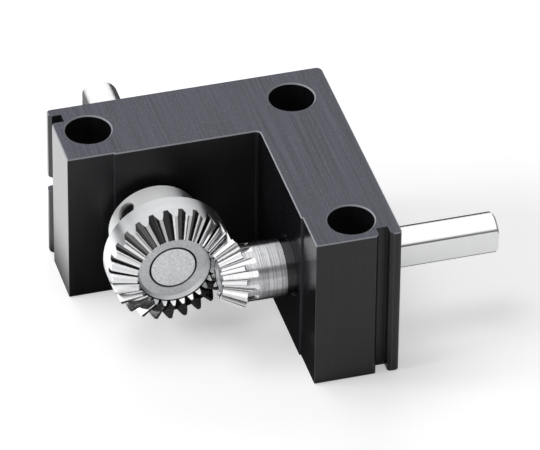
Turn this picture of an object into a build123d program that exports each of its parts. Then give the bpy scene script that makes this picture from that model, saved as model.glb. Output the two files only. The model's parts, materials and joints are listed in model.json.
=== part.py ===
# Right-angle bevel gearbox: an open L-shaped housing that carries two crossed shafts.
# Each shaft turns in two sealed ball bearings and carries one straight bevel gear.
# Millimetres, +Z up. The origin is the middle of the corner mounting hole on the base face.

import os
from math import atan, cos, pi, radians, sin, sqrt, tan

from build123d import *

# Housing
height = 42.0
arm_length = 70.0
outer_to_hole = 10.5
end_to_hole = 8.0
strip_thickness = 21.4
band_proud = 0.4
strip_length = 11.7
outer_corner_r = 1.5
inner_corner_r = 1.25
edge_break = 0.25

# Mounting holes
counterbore_r = 6.0
counterbore_depth = 10.0
counterbore_chamfer = 0.3
screw_hole_r = 2.75

# End grooves
groove_depth = 3.2
groove_width = 3.0
flange_root = 2.8
groove_mouth_inner = 0.6
groove_mouth_outer = 0.8
flange_nose_r = 1.0
flange_slot_width = 4.4

# Shaft lines
shaft_z = height / 2
shaft_to_hole = 38.75

# Gears
module = 1.15
wheel_teeth = 26
pinion_teeth = 13
pressure_angle = 20.0
face_width = 6.2
addendum = 1.0
dedendum = 1.25
backlash = 0.12
wheel_tooth_above_x = 4.4
wheel_ring_face = 6.6
wheel_rim_end = 14.75
wheel_hub_r = 11.4
pinion_hub_r = 7.1
gear_chamfer = 0.4

# Shafts
shaft_r = 6.0
stub_r = 5.0
stub_length = 30.0
stub_shoulder_inside = 1.0
flat_from_axis = 4.0
shaft_chamfer = 0.5
front_chamfer_depth = 1.0
spigot_r = 3.0

# Bearings, collars and rings
hub_end = 25.15
lip_length = 3.0
lip_hole_r = 7.2
bearing_r = 9.0
bearing_width = 4.0
inner_race_r = 6.8
outer_race_r = 8.2
outer_spacer_r = 8.3
bearing_spacing = 7.8
ball_set_width = 2.4
running_gap = 0.05
seal_thickness = 0.4
snap_ring_thickness = 1.0
bore_groove_r = 9.4
bore_ring_r = 7.9
shaft_groove_r = 5.5
shaft_ring_r = 7.4
snap_gap = 2.6
snap_hole_r = 0.45

# Set screws
wheel_screw_r = 2.5
wheel_screw_station = 21.0
wheel_screw_angle = 135.0
wheel_screw_fill = 0.70
wheel_screw_hex = 2.5
pinion_screw_r = 1.5
pinion_screw_station = 21.5
pinion_screw_fill = 0.88
pinion_screw_hex = 1.5
screw_socket_share = 0.5

# Derived places
arm_end = outer_to_hole - arm_length
hole_pitch = arm_length - outer_to_hole - end_to_hole
strip_face = outer_to_hole - strip_thickness
band_face = strip_face - band_proud
band_start = arm_end + strip_length
apex = (-shaft_to_hole, -shaft_to_hole, shaft_z)
band_station = shaft_to_hole + band_face
outer_station = shaft_to_hole + outer_to_hole
front_bearing = band_station + lip_length
middle_spacer = front_bearing + bearing_width
rear_bearing = middle_spacer + bearing_spacing
snap_station = rear_bearing + bearing_width
shoulder_station = outer_station - stub_shoulder_inside
stub_end = outer_station + stub_length

# Gear cones
wheel_pitch_r = module * wheel_teeth / 2
pinion_pitch_r = module * pinion_teeth / 2
cone_distance = sqrt(wheel_pitch_r**2 + pinion_pitch_r**2)
wheel_cone = atan(wheel_teeth / pinion_teeth)
pinion_cone = atan(pinion_teeth / wheel_teeth)
toe_scale = (cone_distance - face_width) / cone_distance

# Each shaft line has its own plane: origin at the crossing point, normal along the shaft
wheel_axis = Plane(origin=apex, x_dir=(1, 0, 0), z_dir=(0, 1, 0))
pinion_axis = Plane(origin=apex, x_dir=(0, 1, 0), z_dir=(1, 0, 0))


def profile_plane(axis):
    """A plane through the shaft line: x is the radius and y is the station along the shaft."""
    return Plane(origin=axis.origin, x_dir=axis.x_dir, z_dir=axis.y_dir * -1)


def shaft_line(axis):
    return Axis(axis.origin, axis.z_dir)


def radial_plane(axis, station, angle):
    """A plane whose normal points outward from the shaft line at one station."""
    outward = axis.x_dir * cos(radians(angle)) + axis.y_dir * sin(radians(angle))
    return Plane(origin=axis.offset(station).origin, x_dir=axis.z_dir, z_dir=outward)


def sleeve(axis, station, length, inner_r, outer_r, name):
    with BuildPart() as piece:
        with BuildSketch(axis.offset(station)):
            Circle(outer_r)
            Circle(inner_r, mode=Mode.SUBTRACT)
        extrude(amount=length)
    piece.part.label = name
    return piece.part


# Housing
def groove_outline():
    """The end groove of the arm that runs along Y, seen from above."""
    inner = outer_to_hole - flange_root - groove_width
    outer = outer_to_hole - flange_root
    return [
        (inner - groove_mouth_inner, arm_end - 1),
        (inner - groove_mouth_inner, arm_end),
        (inner, arm_end + groove_mouth_inner),
        (inner, arm_end + groove_depth),
        (outer, arm_end + groove_depth),
        (outer, arm_end + groove_mouth_outer),
        (outer + groove_mouth_outer, arm_end),
        (outer + groove_mouth_outer, arm_end - 1),
    ]


outline = [
    (outer_to_hole, outer_to_hole),
    (outer_to_hole, arm_end),
    (strip_face, arm_end),
    (strip_face, band_start),
    (band_face, band_start),
    (band_face, band_face),
    (band_start, band_face),
    (band_start, strip_face),
    (arm_end, strip_face),
    (arm_end, outer_to_hole),
]
hole_places = [(0, 0), (-hole_pitch, 0), (0, -hole_pitch)]

with BuildPart() as housing:
    with BuildSketch(Plane.XY) as footprint:
        with BuildLine():
            Polyline(*outline, close=True)
        make_face()
        corners = footprint.vertices()
        fillet(corners.sort_by_distance((outer_to_hole, outer_to_hole, 0))[0], outer_corner_r)
        corners = footprint.vertices()
        fillet(corners.sort_by_distance((band_face, band_face, 0))[0], inner_corner_r)
        corners = footprint.vertices()
        fillet(corners.sort_by_distance((outer_to_hole, arm_end, 0))[0], flange_nose_r)
        corners = footprint.vertices()
        fillet(corners.sort_by_distance((arm_end, outer_to_hole, 0))[0], flange_nose_r)
    extrude(amount=height)
    chamfer(housing.faces().sort_by(Axis.Z)[-1].edges(), edge_break)
    chamfer(housing.faces().sort_by(Axis.Z)[0].edges(), edge_break)
    # Full-height grooves in both arm ends
    with BuildSketch(Plane.XY):
        with BuildLine():
            Polyline(*groove_outline(), close=True)
        make_face()
        with BuildLine():
            Polyline(*[(y, x) for x, y in groove_outline()], close=True)
        make_face()
    extrude(amount=height, mode=Mode.SUBTRACT)
    # Slot across the thin flange of the arm that runs along X
    with BuildSketch(Plane.YZ.offset(arm_end - 1)):
        with Locations((outer_to_hole - flange_root / 2, shaft_z)):
            Rectangle(flange_root + 2, flange_slot_width)
    extrude(amount=groove_depth + 1, mode=Mode.SUBTRACT)
    # Counterbored mounting holes
    with BuildSketch(Plane.XY):
        with Locations(*hole_places):
            Circle(screw_hole_r)
    extrude(amount=height, mode=Mode.SUBTRACT)
    with BuildSketch(Plane.XY.offset(height - counterbore_depth)):
        with Locations(*hole_places):
            Circle(counterbore_r - counterbore_chamfer)
    extrude(amount=counterbore_depth, mode=Mode.SUBTRACT)
    mouths = housing.faces().sort_by(Axis.Z)[-1].edges().filter_by(GeomType.CIRCLE)
    mouths = mouths.filter_by(lambda e: abs(e.radius - counterbore_r + counterbore_chamfer) < 0.01)
    chamfer(mouths, counterbore_chamfer)
    # Bearing seats, one along each shaft line
    for seat_axis in (wheel_axis, pinion_axis):
        with BuildSketch(profile_plane(seat_axis)):
            with BuildLine():
                Polyline(
                    (0, band_station - 1),
                    (lip_hole_r + edge_break, band_station - 1),
                    (lip_hole_r + edge_break, band_station),
                    (lip_hole_r, band_station + edge_break),
                    (lip_hole_r, front_bearing),
                    (bearing_r, front_bearing),
                    (bearing_r, snap_station),
                    (bore_groove_r, snap_station),
                    (bore_groove_r, snap_station + snap_ring_thickness),
                    (bearing_r, snap_station + snap_ring_thickness),
                    (bearing_r, outer_station - edge_break),
                    (bearing_r + edge_break, outer_station),
                    (bearing_r + edge_break, outer_station + 1),
                    (0, outer_station + 1),
                    close=True,
                )
            make_face()
        revolve(axis=shaft_line(seat_axis), mode=Mode.SUBTRACT)
housing.part.label = "housing"


# Bevel gears
def involute_angle(radius, base_radius):
    lean = sqrt(max((radius / base_radius) ** 2 - 1, 0))
    return lean - atan(lean)


def space_outline(teeth, cone, scale):
    """Half-width points of one tooth space, root first, in the plane square to the cone."""
    virtual_r = module * teeth / 2 / cos(cone)
    base_r = virtual_r * cos(radians(pressure_angle))
    root_r = virtual_r - dedendum * module
    top_r = virtual_r + (addendum + 0.5) * module
    pitch_half = (pi * module / 2 + backlash) / 2 / virtual_r
    base_half = pitch_half - involute_angle(virtual_r, base_r)
    points = []
    if root_r < base_r:
        points.append((root_r, base_half))
    start_r = max(root_r, base_r)
    steps = 5
    for step in range(steps + 1):
        radius = start_r + (top_r - start_r) * step / steps
        points.append((radius, base_half + involute_angle(radius, base_r)))
    return [(scale * (r * cos(a) - virtual_r), scale * r * sin(a)) for r, a in points]


def space_cutter(teeth, cone, far_scale):
    """One tooth space that runs along the cone, about an axis on +Z with its apex at the origin."""
    along = Vector(sin(cone), 0, cos(cone))
    outward = Vector(cos(cone), 0, -sin(cone))
    with BuildPart() as cutter:
        for scale in (toe_scale - 0.1, far_scale):
            place = Plane(origin=along * (cone_distance * scale), x_dir=outward, z_dir=along)
            side = space_outline(teeth, cone, scale)
            flank = side[-6:]
            with BuildSketch(place):
                with BuildLine():
                    Spline(*flank)
                    Spline(*[(x, -y) for x, y in flank])
                    Line(flank[-1], (flank[-1][0], -flank[-1][1]))
                    if len(side) > 6:
                        Line(side[0], flank[0])
                        Line((side[0][0], -side[0][1]), (flank[0][0], -flank[0][1]))
                    Line(side[0], (side[0][0], -side[0][1]))
                make_face()
        loft(ruled=True)
    return cutter.part


def cone_point(pitch_r, cone, out, scale=1.0):
    """(radius, station) of a point out from the pitch cone along the back cone."""
    radius = pitch_r + out * cos(cone)
    station = pitch_r / tan(cone) - out * sin(cone)
    return (radius * scale, station * scale)


wheel_tip = cone_point(wheel_pitch_r, wheel_cone, addendum * module)
wheel_toe_tip = cone_point(wheel_pitch_r, wheel_cone, addendum * module, toe_scale)
wheel_toe_root = cone_point(wheel_pitch_r, wheel_cone, -dedendum * module, toe_scale)
pinion_tip = cone_point(pinion_pitch_r, pinion_cone, addendum * module)
pinion_toe_tip = cone_point(pinion_pitch_r, pinion_cone, addendum * module, toe_scale)
pinion_toe_root = cone_point(pinion_pitch_r, pinion_cone, -dedendum * module, toe_scale)
pinion_root = cone_point(pinion_pitch_r, pinion_cone, -dedendum * module)
wheel_root = cone_point(wheel_pitch_r, wheel_cone, -dedendum * module)

# The face in front of the wheel's teeth falls on from the toe to the ring face
toe_fall = (wheel_toe_tip[0] - wheel_toe_root[0]) / (wheel_toe_root[1] - wheel_toe_tip[1])
ring_edge_r = wheel_toe_root[0] - toe_fall * (wheel_ring_face - wheel_toe_root[1])
pinion_toe_end = pinion_toe_root[1] + (pinion_toe_root[0] - spigot_r) * tan(pinion_cone)
pinion_back_station = pinion_tip[1] + (pinion_tip[0] - pinion_hub_r) * tan(pinion_cone)

wheel_blank = [
    (shaft_r, wheel_ring_face),
    (ring_edge_r, wheel_ring_face),
    wheel_toe_tip,
    wheel_tip,
    (wheel_tip[0], wheel_rim_end - gear_chamfer),
    (wheel_tip[0] - gear_chamfer, wheel_rim_end),
    (wheel_hub_r, wheel_rim_end),
    (wheel_hub_r, hub_end - gear_chamfer),
    (wheel_hub_r - gear_chamfer, hub_end),
    (shaft_r, hub_end),
]
pinion_blank = [
    (spigot_r, pinion_toe_end),
    pinion_toe_tip,
    pinion_tip,
    (pinion_hub_r, pinion_back_station),
    (pinion_hub_r, hub_end - gear_chamfer / 2),
    (pinion_hub_r - gear_chamfer / 2, hub_end),
    (spigot_r, hub_end),
]

wheel_half_pitch = 180 / wheel_teeth
pinion_half_pitch = 180 / pinion_teeth
wheel_space_angle = wheel_half_pitch - wheel_tooth_above_x
pinion_tooth_angle = -wheel_space_angle * wheel_teeth / pinion_teeth
pinion_space_angle = pinion_tooth_angle + pinion_half_pitch
wheel_space = space_cutter(wheel_teeth, wheel_cone, wheel_tip[0] / wheel_root[0] + 0.06)
pinion_space = space_cutter(pinion_teeth, pinion_cone, pinion_hub_r / pinion_root[0] + 0.06)


def bevel_gear(axis, blank, teeth, space, space_angle, name):
    with BuildPart(axis) as gear:
        with BuildSketch(profile_plane(axis)):
            with BuildLine():
                Polyline(*blank, close=True)
            make_face()
        revolve(axis=shaft_line(axis))
        with PolarLocations(0, teeth, start_angle=space_angle):
            add(space, mode=Mode.SUBTRACT)
    gear.part.label = name
    return gear.part


def with_screw_hole(gear_part, place, inner_r, hole_r, reach):
    with BuildPart() as gear:
        add(gear_part)
        with BuildSketch(place.offset(inner_r - 1)):
            Circle(hole_r)
        extrude(amount=reach - inner_r + 2, mode=Mode.SUBTRACT)
    gear.part.label = gear_part.label
    return gear.part


def set_screw(place, inner_r, hub_r, fill, screw_r, hex_across, name):
    length = (hub_r - inner_r) * fill
    with BuildPart() as screw:
        with BuildSketch(place.offset(inner_r)):
            Circle(screw_r)
        extrude(amount=length)
        with BuildSketch(place.offset(inner_r + length)):
            RegularPolygon(hex_across / 2, 6, major_radius=False)
        extrude(amount=-length * screw_socket_share, mode=Mode.SUBTRACT)
    screw.part.label = name
    return screw.part


wheel_screw_place = radial_plane(wheel_axis, wheel_screw_station, -wheel_screw_angle)
pinion_screw_place = radial_plane(pinion_axis, pinion_screw_station, -90)

bevel_wheel = bevel_gear(
    wheel_axis, wheel_blank, wheel_teeth, wheel_space, wheel_space_angle, "bevel_wheel"
)
bevel_wheel = with_screw_hole(
    bevel_wheel, wheel_screw_place, shaft_r, wheel_screw_r, wheel_hub_r
)
bevel_pinion = bevel_gear(
    pinion_axis, pinion_blank, pinion_teeth, pinion_space, pinion_space_angle, "bevel_pinion"
)
bevel_pinion = with_screw_hole(
    bevel_pinion, pinion_screw_place, spigot_r, pinion_screw_r, pinion_hub_r
)
wheel_set_screw = set_screw(
    wheel_screw_place,
    shaft_r,
    wheel_hub_r,
    wheel_screw_fill,
    wheel_screw_r,
    wheel_screw_hex,
    "wheel_set_screw",
)
pinion_set_screw = set_screw(
    pinion_screw_place,
    spigot_r,
    pinion_hub_r,
    pinion_screw_fill,
    pinion_screw_r,
    pinion_screw_hex,
    "pinion_set_screw",
)


# Shafts
def shaft_tail():
    """The part of both shafts from the snap-ring groove to the end of the output stub."""
    return [
        (shaft_r, snap_station),
        (shaft_groove_r, snap_station),
        (shaft_groove_r, snap_station + snap_ring_thickness),
        (shaft_r, snap_station + snap_ring_thickness),
        (shaft_r, shoulder_station),
        (stub_r, shoulder_station),
        (stub_r, stub_end - shaft_chamfer),
        (stub_r - shaft_chamfer, stub_end),
        (0, stub_end),
    ]


def shaft(axis, nose, name):
    """A turned shaft with one flat along its output stub."""
    with BuildPart() as piece:
        with BuildSketch(profile_plane(axis)):
            with BuildLine():
                Polyline(*nose, *shaft_tail(), close=True)
            make_face()
        revolve(axis=shaft_line(axis))
        with BuildSketch(axis.offset(shoulder_station)):
            with Locations((-flat_from_axis - stub_r, 0)):
                Rectangle(2 * stub_r, 4 * stub_r)
        extrude(amount=stub_length + stub_shoulder_inside, mode=Mode.SUBTRACT)
    piece.part.label = name
    return piece.part


wheel_nose = [
    (0, wheel_ring_face),
    (shaft_r - shaft_chamfer, wheel_ring_face),
    (shaft_r, wheel_ring_face + front_chamfer_depth),
]
pinion_nose = [
    (0, pinion_toe_end),
    (spigot_r - shaft_chamfer / 2, pinion_toe_end),
    (spigot_r, pinion_toe_end + shaft_chamfer / 2),
    (spigot_r, hub_end),
    (shaft_r, hub_end),
]
wheel_shaft = shaft(wheel_axis, wheel_nose, "wheel_shaft")
pinion_shaft = shaft(pinion_axis, pinion_nose, "pinion_shaft")


# Bearings
def ball_set(axis, station, name):
    """The balls of one bearing with their cage, as one ring between the races."""
    start = station + (bearing_width - ball_set_width) / 2
    inner = inner_race_r + running_gap
    outer = outer_race_r - running_gap
    return sleeve(axis, start, ball_set_width, inner, outer, name)


def seal_pair(axis, station, name):
    """The two rubber seals of one bearing."""
    with BuildPart() as piece:
        for start in (station, station + bearing_width - seal_thickness):
            with BuildSketch(axis.offset(start)):
                Circle(outer_race_r)
                Circle(inner_race_r + running_gap, mode=Mode.SUBTRACT)
            extrude(amount=seal_thickness)
    piece.part.label = name
    return piece.part


def snap_ring(axis, inner_r, outer_r, name):
    """A retaining ring with a gap and two plier holes."""
    middle = (inner_r + outer_r) / 2
    with BuildPart() as piece:
        with BuildSketch(axis.offset(snap_station)):
            Circle(outer_r)
            Circle(inner_r, mode=Mode.SUBTRACT)
            with Locations((middle, 0)):
                Rectangle(outer_r - inner_r + 2, snap_gap, mode=Mode.SUBTRACT)
            for side in (-1, 1):
                with Locations((middle, side * (snap_gap / 2 + 2 * snap_hole_r))):
                    Circle(snap_hole_r, mode=Mode.SUBTRACT)
        extrude(amount=snap_ring_thickness)
    piece.part.label = name
    return piece.part


pieces = [
    housing.part,
    bevel_wheel,
    bevel_pinion,
    wheel_set_screw,
    pinion_set_screw,
    wheel_shaft,
    pinion_shaft,
]
for line, axis in (("wheel", wheel_axis), ("pinion", pinion_axis)):
    for place, station in (("front", front_bearing), ("rear", rear_bearing)):
        bearing = line + "_" + place
        outer_name = bearing + "_outer_race"
        inner_name = bearing + "_inner_race"
        pieces.append(sleeve(axis, station, bearing_width, outer_race_r, bearing_r, outer_name))
        pieces.append(sleeve(axis, station, bearing_width, shaft_r, inner_race_r, inner_name))
        pieces.append(ball_set(axis, station, bearing + "_ball_set"))
        pieces.append(seal_pair(axis, station, bearing + "_seals"))
    outer_spacer = line + "_outer_spacer"
    inner_spacer = line + "_inner_spacer"
    pieces.append(
        sleeve(axis, middle_spacer, bearing_spacing, outer_spacer_r, bearing_r, outer_spacer)
    )
    pieces.append(
        sleeve(axis, middle_spacer, bearing_spacing, shaft_r, inner_race_r, inner_spacer)
    )
    collar_length = front_bearing - hub_end
    pieces.append(sleeve(axis, hub_end, collar_length, shaft_r, inner_race_r, line + "_collar"))
    pieces.append(snap_ring(axis, bore_ring_r, bore_groove_r, line + "_bore_snap_ring"))
    pieces.append(snap_ring(axis, shaft_groove_r, shaft_ring_r, line + "_shaft_snap_ring"))

os.makedirs("parts", exist_ok=True)
for piece in pieces:
    export_step(piece, "parts/" + piece.label + ".step")
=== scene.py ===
import json
import math
from collections import namedtuple

import bpy
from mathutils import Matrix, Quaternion, Vector


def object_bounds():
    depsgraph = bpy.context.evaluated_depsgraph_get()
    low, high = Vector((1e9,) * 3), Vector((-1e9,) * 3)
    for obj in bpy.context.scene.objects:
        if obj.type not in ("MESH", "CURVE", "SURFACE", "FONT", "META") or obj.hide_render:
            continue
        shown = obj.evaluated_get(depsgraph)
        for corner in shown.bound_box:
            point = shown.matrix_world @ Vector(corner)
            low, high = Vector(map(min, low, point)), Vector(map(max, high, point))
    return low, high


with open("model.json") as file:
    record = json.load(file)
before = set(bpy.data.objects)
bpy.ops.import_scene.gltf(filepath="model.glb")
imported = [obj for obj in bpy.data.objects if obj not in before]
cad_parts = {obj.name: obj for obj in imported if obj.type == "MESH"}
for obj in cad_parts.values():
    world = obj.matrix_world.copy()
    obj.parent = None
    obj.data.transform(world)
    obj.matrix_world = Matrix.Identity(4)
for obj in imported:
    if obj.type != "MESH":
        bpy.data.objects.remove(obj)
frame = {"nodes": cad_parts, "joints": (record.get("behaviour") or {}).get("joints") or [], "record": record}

cad_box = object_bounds()
nodes = frame["nodes"]
slots = {entry["node"]: entry["material_slot"] for entry in frame["record"]["subparts"]}
joints = {joint["name"]: joint for joint in frame["joints"]}

# Where the shafts cross; every lathe mark runs round one of them
crossing = Vector(joints["wheel_spin"]["pos_m"])
shaft_axes = {"wheel": "Y", "pinion": "X"}

# Camera, at the photograph's place: a long lens above and to the left of the gearbox
camera_place = Vector((-0.3375, -1.1423, 0.9080))
camera_aim = Vector((-0.01153, -0.0220, 0.0210))
camera_roll = math.radians(0.62)
camera_lens = 400.2
camera_reach = 20.0
sensor_width = 36.0

# Floor, white to the camera; reflections see painted shadow patches near the gears and a painted bright
# patch in it
floor_size = 6.0
floor_gap = 0.00002
floor_colour = (0.80, 0.80, 0.80, 1)
# Painted shadow: the colour that reflections see on the floor near the gears
mirrored_shadow_colour = (0.06, 0.06, 0.06, 1)
floor_glow = 0.40
floor_glow_mirrored = 0.20
# Painted reflection: how brightly the floor's bright patch glows to reflections
glow_patch_glow_mirrored = 0.85

# Edges of those patches: where each one begins, and where it has its full strength
shadow_patch_front = (-0.046, -0.040)
shadow_patch_left = (-0.064, -0.058)
pinion_shadow_left = (-0.020, -0.016)
pinion_shadow_right = (0.008, 0.004)
pinion_shadow_front = (-0.062, -0.058)
# The painted bright patch, seen only in reflections, at the left front
glow_patch_right = (-0.057, -0.065)
glow_patch_front = (-0.045, -0.030)

# The room that metal mirrors: how far along its axis each light begins and is full
wall_strength = 0.05
dome_strength = 1.45
room_fill = 0.32
dome_axis, dome_edge = (0.0, 0.357, 0.934), (0.39, 0.46)
window_axis, window_edge = (-0.735, -0.580, 0.350), (0.84, 0.90)
sweep_axis, sweep_edge = (-0.20, 0.35, 1.0), (0.09, 0.03)
sweep_share = 0.40

# Lamps that reflections don't see: place, size and watts
softboxes = {
    "back_softbox": ((0.20, 1.60, 1.30), (1.4, 0.6), 8.0),
    "left_softbox": ((-1.60, 0.10, 0.80), (0.9, 0.9), 18.0),
    "top_softbox": ((-0.40, 0.40, 1.60), (0.8, 0.7), 6.5),
}

# Teeth, seen from the crossing point: the roots' cone angle and the teeth's end along the shaft
tooth_root_cone = {"wheel": 58.5, "pinion": 21.7}
tooth_end = {"wheel": 0.0100, "pinion": 0.0180}

# Nearer to the shaft line than this, or in front of the pinion's back cone, is a tooth space
tooth_inside = {"wheel": 0.01540, "pinion": 0.00705}
pinion_back_slope = 0.5
pinion_back_station = 0.01441
pinion_back_r = 0.008503

# Degrees past the root cone where each mask begins and is full, and how much the space floors are spared the
# painted shade
teeth_begin = (-1.0, -0.4)
# Painted shade along the feet of the teeth
shaded_foot = (1.9, 1.1)
unshaded_floor = (0.25, 0.05)
root_floor_unshaded = {"wheel": 0.10, "pinion": 0.95}

# The screw hole in the wheel's hub, which points up and to the left at 45 degrees
screw_hole_r = 0.0025
screw_hole_margin = 0.0001
screw_hole_station = 0.021
screw_hole_inner_end = 0.004
screw_hole_mouth = (0.0101, 0.0111)
# How much of the painted shade is left at the hole's mouth
screw_hole_mouth_shade = 0.35
cos_45 = 0.7071

# Places along a shaft line from the crossing point, and radii round it
wheel_hub_station = 0.0148
# Painted shade on the chamfer of a shaft's front end: radii and stations where it begins and is full
end_shade_ring_r = (0.00540, 0.00552)
end_shade_ring_station = (0.0080, 0.0077)
rear_stub_station = 0.040
flat_from_axis = 0.0039

# Colours of the anodised block; the brushed top's are lighter than the drawn sides' as a painted sheen
brushed_dark = (0.026, 0.027, 0.040, 1)
brushed_sheen_light = (0.080, 0.084, 0.114, 1)
brushed_streak = (0.036, 0.036, 0.050, 1)
brushed_scratch = (0.010, 0.010, 0.016, 1)
brushed_grain = (0.17, 0.175, 0.21, 1)
drawn_dark = (0.0022, 0.0022, 0.0026, 1)
drawn_light = (0.0065, 0.0065, 0.0078, 1)
drawn_cloud = (0.012, 0.012, 0.016, 1)
# Lighter edges: partly wear, partly painted highlight
worn_and_highlit_edge = (0.20, 0.21, 0.25, 1)
# Painted highlight on the chamfers, which face half up
chamfer_highlight_colour = (0.38, 0.39, 0.42, 1)

# Colours on the steels and the rubber
# Painted sheen: the wheel's hub is a brighter copy of the gear steel
wheel_hub_sheen_colour = (0.93, 0.935, 0.94, 1)
pinion_colour = (0.93, 0.93, 0.945, 1)
pinion_cut = (0.20, 0.20, 0.235, 1)
pinion_patch = (0.30, 0.29, 0.34, 1)
# Uneven tone with painted shade, on faces square to a shaft line
end_mottle_shade = (0.30, 0.31, 0.33, 1)
tooth_colour = (0.95, 0.95, 0.955, 1)
tooth_rough = (0.12, 0.12, 0.12, 1)
# Painted shade at the tooth feet and in the screw hole
root_shade_colour = (0.018, 0.017, 0.016, 1)
# Painted shade colour on the shafts' front chamfers
end_shade_colour = (0.02, 0.02, 0.02, 1)
# Painted reflection of dark surroundings on the wheel shaft's rear flat
stub_flat_reflection_colour = (0.42, 0.42, 0.42, 1)
dark_steel_cloud = (0.12, 0.12, 0.13, 1)
# Lighter edges on blackened steel: partly wear, partly painted highlight
dark_steel_worn_highlight = (0.35, 0.35, 0.37, 1)
rubber_dark = (0.016, 0.016, 0.017, 1)
rubber_dust = (0.035, 0.034, 0.033, 1)

# Turned steels; grain is the scale of the lathe lines, bands how much broad ones darken
TurnedLook = namedtuple("TurnedLook", "colour rough_low rough_high grain depth bands")
race_look = TurnedLook((0.72, 0.73, 0.75, 1), 0.14, 0.26, 5000.0, 0.00001, 0.4)
turned_looks = {
    "gear_steel": TurnedLook((0.76, 0.77, 0.785, 1), 0.28, 0.38, 2800.0, 0.000014, 0.6),
    "shaft_steel": TurnedLook((0.93, 0.935, 0.94, 1), 0.20, 0.26, 6000.0, 0.000002, 0.15),
    "race_steel": race_look,
    "ball_steel": race_look,
    "collar_steel": TurnedLook((0.10, 0.10, 0.105, 1), 0.22, 0.34, 3600.0, 0.00001, 0.6),
    "spacer_steel": TurnedLook((0.60, 0.61, 0.63, 1), 0.22, 0.38, 3600.0, 0.00002, 0.6),
}
dark_looks = {
    "spring_steel": (0.06, 0.06, 0.065, 1),
    "screw_black": (0.045, 0.045, 0.05, 1),
}

LathePlace = namedtuple("LathePlace", "radius station side")


class Graph:
    """Adds shader nodes to one material or world with short calls."""

    def __init__(self, owner):
        self.owner = owner
        owner.use_nodes = True
        self.tree = owner.node_tree
        self.tree.nodes.clear()

    def node(self, kind, **settings):
        made = self.tree.nodes.new(kind)
        for key, value in settings.items():
            setattr(made, key, value)
        return made

    def link(self, source, target):
        self.tree.links.new(source, target)

    def feed(self, socket, value):
        if isinstance(value, bpy.types.NodeSocket):
            self.link(value, socket)
        else:
            socket.default_value = value

    def math(self, operation, a, b=0.0):
        made = self.node("ShaderNodeMath", operation=operation)
        self.feed(made.inputs[0], a)
        self.feed(made.inputs[1], b)
        return made.outputs[0]

    def product(self, first, *others):
        for other in others:
            first = self.math("MULTIPLY", first, other)
        return first

    def dot(self, a, b):
        made = self.node("ShaderNodeVectorMath", operation="DOT_PRODUCT")
        self.feed(made.inputs[0], a)
        self.feed(made.inputs[1], b)
        return made.outputs["Value"]

    def place(self):
        return self.node("ShaderNodeTexCoord").outputs["Object"]

    def split(self, vector):
        """The X, Y and Z of a vector, found by name or number."""
        made = self.node("ShaderNodeSeparateXYZ")
        self.link(vector, made.inputs[0])
        return made.outputs

    def stretched(self, vector, scale):
        made = self.node("ShaderNodeVectorMath", operation="MULTIPLY")
        self.feed(made.inputs[0], vector)
        made.inputs[1].default_value = scale
        return made.outputs["Vector"]

    def noise(self, vector, scale, detail=4.0, roughness=0.55):
        made = self.node("ShaderNodeTexNoise")
        self.feed(made.inputs["Vector"], vector)
        made.inputs["Scale"].default_value = scale
        made.inputs["Detail"].default_value = detail
        made.inputs["Roughness"].default_value = roughness
        return made.outputs["Fac"]

    def ramp(self, value, low, high, to_low, to_high):
        made = self.node("ShaderNodeMapRange")
        self.feed(made.inputs["Value"], value)
        made.inputs["From Min"].default_value = low
        made.inputs["From Max"].default_value = high
        made.inputs["To Min"].default_value = to_low
        made.inputs["To Max"].default_value = to_high
        return made.outputs["Result"]

    def fade(self, value, edge, amount=1.0):
        """0 where an edge begins, amount where it ends; an edge may also fall."""
        return self.ramp(value, edge[0], edge[1], 0.0, amount)

    def mix(self, factor, a, b):
        made = self.node("ShaderNodeMix", data_type="RGBA")
        self.feed(made.inputs["Factor"], factor)
        self.feed(made.inputs["A"], a)
        self.feed(made.inputs["B"], b)
        return made.outputs["Result"]

    def coat(self, base, colour, mask, amount):
        """Lays colour over base where mask is 1, as strongly as amount."""
        return self.mix(self.math("MULTIPLY", mask, amount), base, colour)

    def tint(self, base, colour, value, edge, amount=1.0):
        """Moves base towards colour over an edge of value, by at most amount."""
        return self.mix(self.fade(value, edge, amount), base, colour)

    def bump(self, height, strength, distance):
        made = self.node("ShaderNodeBump")
        made.inputs["Strength"].default_value = strength
        made.inputs["Distance"].default_value = distance
        self.link(height, made.inputs["Height"])
        return made.outputs["Normal"]

    def edges(self, radius):
        """0 on flat ground, rising to 1 on sharp edges."""
        bevel = self.node("ShaderNodeBevel", samples=4)
        bevel.inputs["Radius"].default_value = radius
        plain = self.node("ShaderNodeNewGeometry").outputs["True Normal"]
        return self.fade(self.dot(bevel.outputs["Normal"], plain), (0.99, 0.80))

    def shader(self, **values):
        made = self.node("ShaderNodeBsdfPrincipled")
        for key, value in values.items():
            self.feed(made.inputs[key.replace("_", " ")], value)
        return self.show(made.outputs[0], "ShaderNodeOutputMaterial")

    def show(self, surface, output_kind):
        output = self.node(output_kind)
        self.link(surface, output.inputs["Surface"])
        return self.owner


# Masks by place and direction
def facing(graph, axis):
    """How much the surface faces along one axis of the object, from 0 to 1."""
    normal = graph.node("ShaderNodeTexCoord").outputs["Normal"]
    return graph.math("ABSOLUTE", graph.split(normal)[axis])


def end_on(graph, line):
    """1 on faces that are square to a shaft line."""
    return graph.fade(facing(graph, shaft_axes[line]), (0.90, 0.97))


def lathe_parts(graph, line):
    """Radius from a shaft line, station along it from the crossing point, and sideways place."""
    parts = graph.split(graph.place())
    along = "XYZ".index(shaft_axes[line])
    across = 1 - along
    side = graph.math("SUBTRACT", parts[across], crossing[across])
    up = graph.math("SUBTRACT", parts[2], crossing[2])
    square = graph.math("ADD", graph.product(side, side), graph.product(up, up))
    station = graph.math("SUBTRACT", parts[along], crossing[along])
    return LathePlace(graph.math("SQRT", square), station, side)


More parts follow.
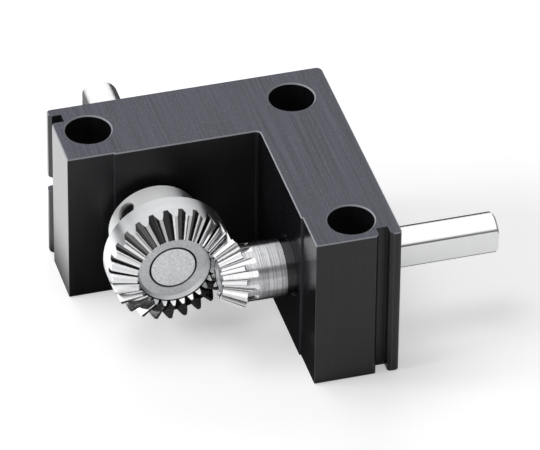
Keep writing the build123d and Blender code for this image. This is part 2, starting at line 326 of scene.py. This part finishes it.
def lathe_place(graph, line):
    """Coordinates in which a noise makes fine lines that run round a shaft line."""
    lathe = lathe_parts(graph, line)
    together = graph.node("ShaderNodeCombineXYZ")
    graph.link(lathe.radius, together.inputs[0])
    graph.link(lathe.station, together.inputs[1])
    graph.link(graph.math("MULTIPLY", lathe.side, 0.02), together.inputs[2])
    return together.outputs[0]


def cone_angle(graph, lathe):
    """Degrees from the shaft line, seen from the crossing point."""
    return graph.math("DEGREES", graph.math("ARCTAN2", lathe.radius, lathe.station))


def past_root(graph, line, angle, degrees, amount=1.0):
    """A fade over an edge that is given in degrees past the root cone."""
    root = tooth_root_cone[line]
    return graph.fade(angle, (root + degrees[0], root + degrees[1]), amount)


def tooth_band(graph, line):
    """1 on the teeth and in their spaces, 0 elsewhere."""
    lathe = lathe_parts(graph, line)
    above_root = past_root(graph, line, cone_angle(graph, lathe), teeth_begin)
    before_end = graph.math("LESS_THAN", lathe.station, tooth_end[line])
    inside = graph.math("LESS_THAN", lathe.radius, tooth_inside[line])
    if line == "pinion":
        leaned = graph.math("MULTIPLY", lathe.radius, pinion_back_slope)
        back_cone = pinion_back_station + pinion_back_slope * pinion_back_r
        in_front = graph.math("LESS_THAN", graph.math("ADD", lathe.station, leaned), back_cone)
        inside = graph.math("MAXIMUM", inside, in_front)
    return graph.product(above_root, before_end, inside)


def tooth_feet(graph, line):
    """1 along the foot of each tooth flank, less on the floor of the space, 0 elsewhere."""
    angle = cone_angle(graph, lathe_parts(graph, line))
    foot = past_root(graph, line, angle, shaded_foot)
    floor = past_root(graph, line, angle, unshaded_floor, root_floor_unshaded[line])
    return graph.product(graph.math("SUBTRACT", foot, floor), tooth_band(graph, line))


def screw_hole_wall(graph):
    """1 in the wheel's screw hole below the hub's surface, less at its mouth: where shade is painted in the
    hole.
    """
    parts = graph.split(graph.place())
    side = graph.math("SUBTRACT", parts[0], crossing[0])
    up = graph.math("SUBTRACT", parts[2], crossing[2])
    station = graph.math("SUBTRACT", parts[1], crossing[1] + screw_hole_station)
    out = graph.math("MULTIPLY", graph.math("SUBTRACT", up, side), cos_45)
    off = graph.math("MULTIPLY", graph.math("ADD", up, side), cos_45)
    square = graph.math("ADD", graph.product(off, off), graph.product(station, station))
    away = graph.math("SQRT", square)
    near = graph.math("LESS_THAN", away, screw_hole_r + screw_hole_margin)
    outer = graph.ramp(out, screw_hole_mouth[0], screw_hole_mouth[1], 1.0, screw_hole_mouth_shade)
    return graph.product(near, outer, graph.math("GREATER_THAN", out, screw_hole_inner_end))


# Materials
def anodised(name):
    """Black anodised aluminium: a brushed top painted lighter than the sides as a sheen, sides drawn along
    Z, smoother towards X.
    """
    graph = Graph(bpy.data.materials.new(name))
    place = graph.place()
    slope = facing(graph, "Z")
    top = graph.fade(slope, (0.6, 0.9))
    towards_x = graph.fade(facing(graph, "X"), (0.6, 0.9))
    # Painted highlight: the chamfers, found by how steeply they face up
    chamfer_highlight = graph.product(graph.fade(slope, (0.45, 0.60)), graph.fade(slope, (0.90, 0.80)))

    hair = graph.noise(graph.stretched(place, (1.0, 0.012, 1.0)), 2000.0, 4.0, 0.70)
    streak = graph.noise(graph.stretched(place, (1.0, 0.020, 1.0)), 500.0, 2.0, 0.5)
    scratch = graph.noise(graph.stretched(place, (1.0, 0.008, 1.0)), 2600.0, 2.0, 0.5)
    grain = graph.noise(graph.stretched(place, (1.0, 0.35, 1.0)), 3000.0, 2.0, 0.6)
    # Brush lines on the top, in colours lighter than the sides' as a painted sheen
    brushed = graph.tint(brushed_dark, brushed_sheen_light, hair, (0.36, 0.64))
    brushed = graph.tint(brushed, brushed_streak, streak, (0.35, 0.65), 0.40)
    brushed = graph.tint(brushed, brushed_scratch, scratch, (0.40, 0.30), 0.75)
    brushed = graph.tint(brushed, brushed_grain, grain, (0.55, 0.75), 0.5)

    draw = graph.noise(graph.stretched(place, (1.0, 1.0, 0.02)), 2600.0, 3.0, 0.6)
    cloud = graph.noise(place, 90.0, 4.0)
    drawn = graph.tint(drawn_dark, drawn_light, draw, (0.35, 0.65))
    drawn = graph.tint(drawn, drawn_cloud, cloud, (0.5, 0.8), 0.5)

    base = graph.mix(top, drawn, brushed)
    # Lighter edges: partly wear, partly painted highlight
    base = graph.coat(base, worn_and_highlit_edge, graph.edges(0.00045), 0.40)
    # Painted highlight on the chamfers
    base = graph.coat(base, chamfer_highlight_colour, chamfer_highlight, 0.80)
    side_rough = graph.ramp(towards_x, 0.0, 1.0, 0.40, 0.16)
    top_rough = graph.ramp(hair, 0.3, 0.7, 0.34, 0.52)
    return graph.shader(
        Base_Color=base,
        Metallic=0.0,
        Roughness=graph.mix(top, side_rough, top_rough),
        Specular_IOR_Level=0.46,
        Normal=graph.bump(graph.mix(top, draw, hair), 0.35, 0.00004),
    )


def wheel_hub(graph, base, rough):
    """Makes the wheel's hub, behind its rim, rougher, and brighter with a painted sheen."""
    hub = graph.math("GREATER_THAN", lathe_parts(graph, "wheel").station, wheel_hub_station)
    rough = graph.math("ADD", rough, graph.math("MULTIPLY", hub, 0.25))
    return graph.mix(hub, base, wheel_hub_sheen_colour), rough


def pinion_lines(graph, place, base):
    """Brightens the pinion, with dark turning lines and patches."""
    cut = graph.noise(place, 3400.0, 3.0, 0.75)
    patch = graph.noise(graph.place(), 700.0, 3.0, 0.6)
    base = graph.mix(0.75, base, pinion_colour)
    base = graph.tint(base, pinion_cut, cut, (0.54, 0.40), 0.55)
    return graph.tint(base, pinion_patch, patch, (0.48, 0.66), 0.25)


def mottled_shaded_ends(graph, line, base):
    """Darkens the faces square to the shaft line in small clouds; the clouds are uneven tone, the darkening
    as a whole is painted shade.
    """
    mottle = graph.noise(graph.place(), 1400.0, 3.0, 0.6)
    shaded_face = graph.mix(graph.ramp(mottle, 0.35, 0.65, 0.10, 0.42), base, end_mottle_shade)
    return graph.mix(end_on(graph, line), base, shaded_face)


def shaded_teeth(graph, line, base, rough):
    """Makes the teeth bright and smooth, with painted shade at their feet and in the wheel's screw hole."""
    root_shade = tooth_feet(graph, line)
    if line == "wheel":
        root_shade = graph.math("MAXIMUM", root_shade, screw_hole_wall(graph))
    teeth = tooth_band(graph, line)
    base = graph.coat(base, tooth_colour, teeth, 0.8)
    # Painted shade at the tooth feet and in the wheel's screw hole
    base = graph.mix(root_shade, base, graph.mix(0.95, base, root_shade_colour))
    return base, graph.mix(teeth, rough, tooth_rough)


def end_shade_ring(graph, line, base):
    """Darkens the edge of a shaft's front end: painted shade on its chamfer."""
    lathe = lathe_parts(graph, line)
    outside = graph.fade(lathe.radius, end_shade_ring_r)
    ring = graph.product(outside, graph.fade(lathe.station, end_shade_ring_station))
    return graph.coat(base, end_shade_colour, ring, 0.93)


def dark_flat(graph, base):
    """Darkens the flat on the rear stub of the wheel's shaft: a painted reflection of dark surroundings."""
    side = graph.split(graph.place())["X"]
    flat = graph.math("LESS_THAN", side, crossing[0] - flat_from_axis)
    station = lathe_parts(graph, "wheel").station
    behind = graph.math("GREATER_THAN", station, rear_stub_station)
    return graph.coat(base, stub_flat_reflection_colour, flat, behind)


def turned_steel(name, line, slot):
    """Bright steel with fine lathe lines round one shaft, and what its slot adds to it."""
    graph = Graph(bpy.data.materials.new(name))
    look = turned_looks[slot]
    dull = tuple(channel * 0.80 for channel in look.colour[:3]) + (1,)
    # Colour for brighter edges: partly wear, partly painted highlight
    bright = tuple(min(channel * 1.12, 0.97) for channel in look.colour[:3]) + (1,)
    place = lathe_place(graph, line)
    fine = graph.noise(place, look.grain, 3.0, 0.7)
    broad = graph.noise(place, look.grain * 0.12, 2.0, 0.5)
    cloud = graph.noise(graph.place(), 220.0, 3.0)
    base = graph.tint(look.colour, dull, broad, (0.35, 0.65), look.bands)
    base = graph.tint(base, dull, cloud, (0.45, 0.75), 0.5 * look.bands)
    # Brighter edges: partly wear, partly painted highlight
    base = graph.coat(base, bright, graph.edges(0.00012), 0.7)
    rough = graph.ramp(fine, 0.3, 0.7, look.rough_low, look.rough_high)

    if slot == "gear_steel" and line == "wheel":
        base, rough = wheel_hub(graph, base, rough)
    if slot == "gear_steel" and line == "pinion":
        base = pinion_lines(graph, place, base)
    base = mottled_shaded_ends(graph, line, base)
    if slot == "gear_steel":
        base, rough = shaded_teeth(graph, line, base, rough)
    if slot == "shaft_steel":
        base = end_shade_ring(graph, line, base)
    if slot == "shaft_steel" and line == "wheel":
        base = dark_flat(graph, base)

    tangent = graph.node("ShaderNodeTangent", direction_type="RADIAL", axis=shaft_axes[line])
    return graph.shader(
        Base_Color=base,
        Metallic=1.0,
        Roughness=rough,
        Anisotropic=0.95,
        Anisotropic_Rotation=0.25,
        Tangent=tangent.outputs[0],
        Normal=graph.bump(fine, 0.5, look.depth),
    )


def dark_steel(name, colour):
    """Blackened spring or screw steel with a faint mottle."""
    graph = Graph(bpy.data.materials.new(name))
    cloud = graph.noise(graph.place(), 900.0, 4.0)
    base = graph.tint(colour, dark_steel_cloud, cloud, (0.3, 0.7))
    # Lighter edges: partly wear, partly painted highlight
    base = graph.coat(base, dark_steel_worn_highlight, graph.edges(0.00015), 0.6)
    rough = graph.ramp(cloud, 0.3, 0.7, 0.28, 0.45)
    normal = graph.bump(cloud, 0.2, 0.00003)
    return graph.shader(Base_Color=base, Metallic=1.0, Roughness=rough, Normal=normal)


def seal_rubber(name, line):
    """Matt black rubber with faint moulded rings."""
    graph = Graph(bpy.data.materials.new(name))
    rings = graph.noise(lathe_place(graph, line), 4000.0, 2.0)
    dust = graph.noise(graph.place(), 500.0, 4.0)
    base = graph.tint(rubber_dark, rubber_dust, dust, (0.4, 0.75))
    rough = graph.ramp(dust, 0.3, 0.7, 0.55, 0.75)
    normal = graph.bump(rings, 0.3, 0.00005)
    return graph.shader(Base_Color=base, Metallic=0.0, Roughness=rough, Normal=normal)


def finish_for(slot, line):
    name = "finish_" + (slot if line is None else line + "_" + slot)
    if name in bpy.data.materials:
        return bpy.data.materials[name]
    if slot == "housing_anodised":
        return anodised(name)
    if slot in turned_looks:
        return turned_steel(name, line, slot)
    if slot in dark_looks:
        return dark_steel(name, dark_looks[slot])
    return seal_rubber(name, line)


def line_of(name):
    """The shaft line that a piece belongs to: wheel, pinion, or none for the housing."""
    if name == "housing":
        return None
    return name.removeprefix("bevel_").split("_")[0]


def dress_nodes():
    for name, piece in nodes.items():
        material = finish_for(slots[name], line_of(name))
        piece.data.materials.clear()
        piece.data.materials.append(material)


# Surroundings
def white_to_the_eye(graph, lit, painted_shadow, glow_patch):
    """Adds a glow that the camera sees all over, and a glow that reflections see outside the painted shadow
    patches, stronger on the painted bright patch.
    """
    path = graph.node("ShaderNodeLightPath").outputs
    seen = graph.math("MULTIPLY", path["Is Camera Ray"], floor_glow)
    glow_patch_glow = graph.math("MULTIPLY", glow_patch, glow_patch_glow_mirrored)
    glow = graph.math("ADD", glow_patch_glow, floor_glow_mirrored)
    away = graph.math("SUBTRACT", 1.0, painted_shadow)
    mirrored = graph.product(path["Is Glossy Ray"], glow, away)
    emission = graph.node("ShaderNodeEmission")
    graph.link(graph.math("ADD", seen, mirrored), emission.inputs["Strength"])
    both = graph.node("ShaderNodeAddShader")
    graph.link(lit, both.inputs[0])
    graph.link(emission.outputs[0], both.inputs[1])
    return both.outputs[0]


def make_floor():
    bpy.ops.mesh.primitive_plane_add(size=floor_size, location=(0, 0, cad_box[0][2] - floor_gap))
    floor = bpy.context.object
    floor.name = "floor"
    graph = Graph(bpy.data.materials.new("floor_paper"))
    x, y = graph.split(graph.place())[:2]
    # Painted shadow, seen only in reflections: behind and left of the block, and near the pinion
    behind = graph.product(graph.fade(y, shadow_patch_front), graph.fade(x, shadow_patch_left))
    near_pinion = graph.product(
        graph.fade(x, pinion_shadow_left),
        graph.fade(x, pinion_shadow_right),
        graph.fade(y, pinion_shadow_front),
    )
    painted_shadow = graph.math("MAXIMUM", behind, near_pinion)
    # Painted reflection: a floor patch at the left front that glows to reflections only, mirrored as a
    # bright strip in the block's end face towards -X
    glow_patch = graph.product(graph.fade(x, glow_patch_right), graph.fade(y, glow_patch_front))
    mirrored = graph.node("ShaderNodeLightPath").outputs["Is Glossy Ray"]
    diffuse = graph.node("ShaderNodeBsdfDiffuse")
    colour = graph.coat(floor_colour, mirrored_shadow_colour, mirrored, painted_shadow)
    graph.link(colour, diffuse.inputs["Color"])
    surface = white_to_the_eye(graph, diffuse.outputs[0], painted_shadow, glow_patch)
    floor.data.materials.append(graph.show(surface, "ShaderNodeOutputMaterial"))


def make_room():
    """A dark studio with a bright dome, a side window and the floor's sweep, as metal sees it."""
    world = bpy.data.worlds.new("room")
    bpy.context.scene.world = world
    graph = Graph(world)
    direction = graph.node("ShaderNodeTexCoord").outputs["Generated"]
    dome = graph.fade(graph.dot(direction, dome_axis), dome_edge)
    window = graph.fade(graph.dot(direction, window_axis), window_edge)
    sweep = graph.fade(graph.dot(direction, sweep_axis), sweep_edge, sweep_share)
    seen = graph.math("MAXIMUM", graph.math("MAXIMUM", dome, window), sweep)
    path = graph.node("ShaderNodeLightPath")
    fill = graph.node("ShaderNodeMix", data_type="FLOAT")
    graph.link(path.outputs["Is Diffuse Ray"], fill.inputs["Factor"])
    graph.link(graph.ramp(seen, 0.0, 1.0, wall_strength, dome_strength), fill.inputs["A"])
    fill.inputs["B"].default_value = room_fill
    background = graph.node("ShaderNodeBackground")
    graph.link(fill.outputs["Result"], background.inputs["Strength"])
    graph.show(background.outputs[0], "ShaderNodeOutputWorld")


def make_lights():
    for name, (place, size, watts) in softboxes.items():
        light = bpy.data.lights.new(name, "AREA")
        light.shape = "RECTANGLE"
        light.size, light.size_y = size
        light.energy = watts
        lamp = bpy.data.objects.new(name, light)
        bpy.context.scene.collection.objects.link(lamp)
        lamp.location = place
        lamp.visible_glossy = False
        lamp.rotation_euler = (camera_aim - Vector(place)).to_track_quat("-Z", "Y").to_euler()


def make_camera():
    data = bpy.data.cameras.new("photo_camera")
    data.lens = camera_lens
    data.sensor_width = sensor_width
    data.clip_end = camera_reach
    camera = bpy.data.objects.new("photo_camera", data)
    bpy.context.scene.collection.objects.link(camera)
    camera.location = camera_place
    look = (camera_aim - camera_place).to_track_quat("-Z", "Y")
    camera.rotation_mode = "QUATERNION"
    camera.rotation_quaternion = look @ Quaternion((0, 0, 1), camera_roll)
    bpy.context.scene.camera = camera


dress_nodes()
make_floor()
make_room()
make_lights()
make_camera()
bpy.context.scene.view_settings.view_transform = "Standard"
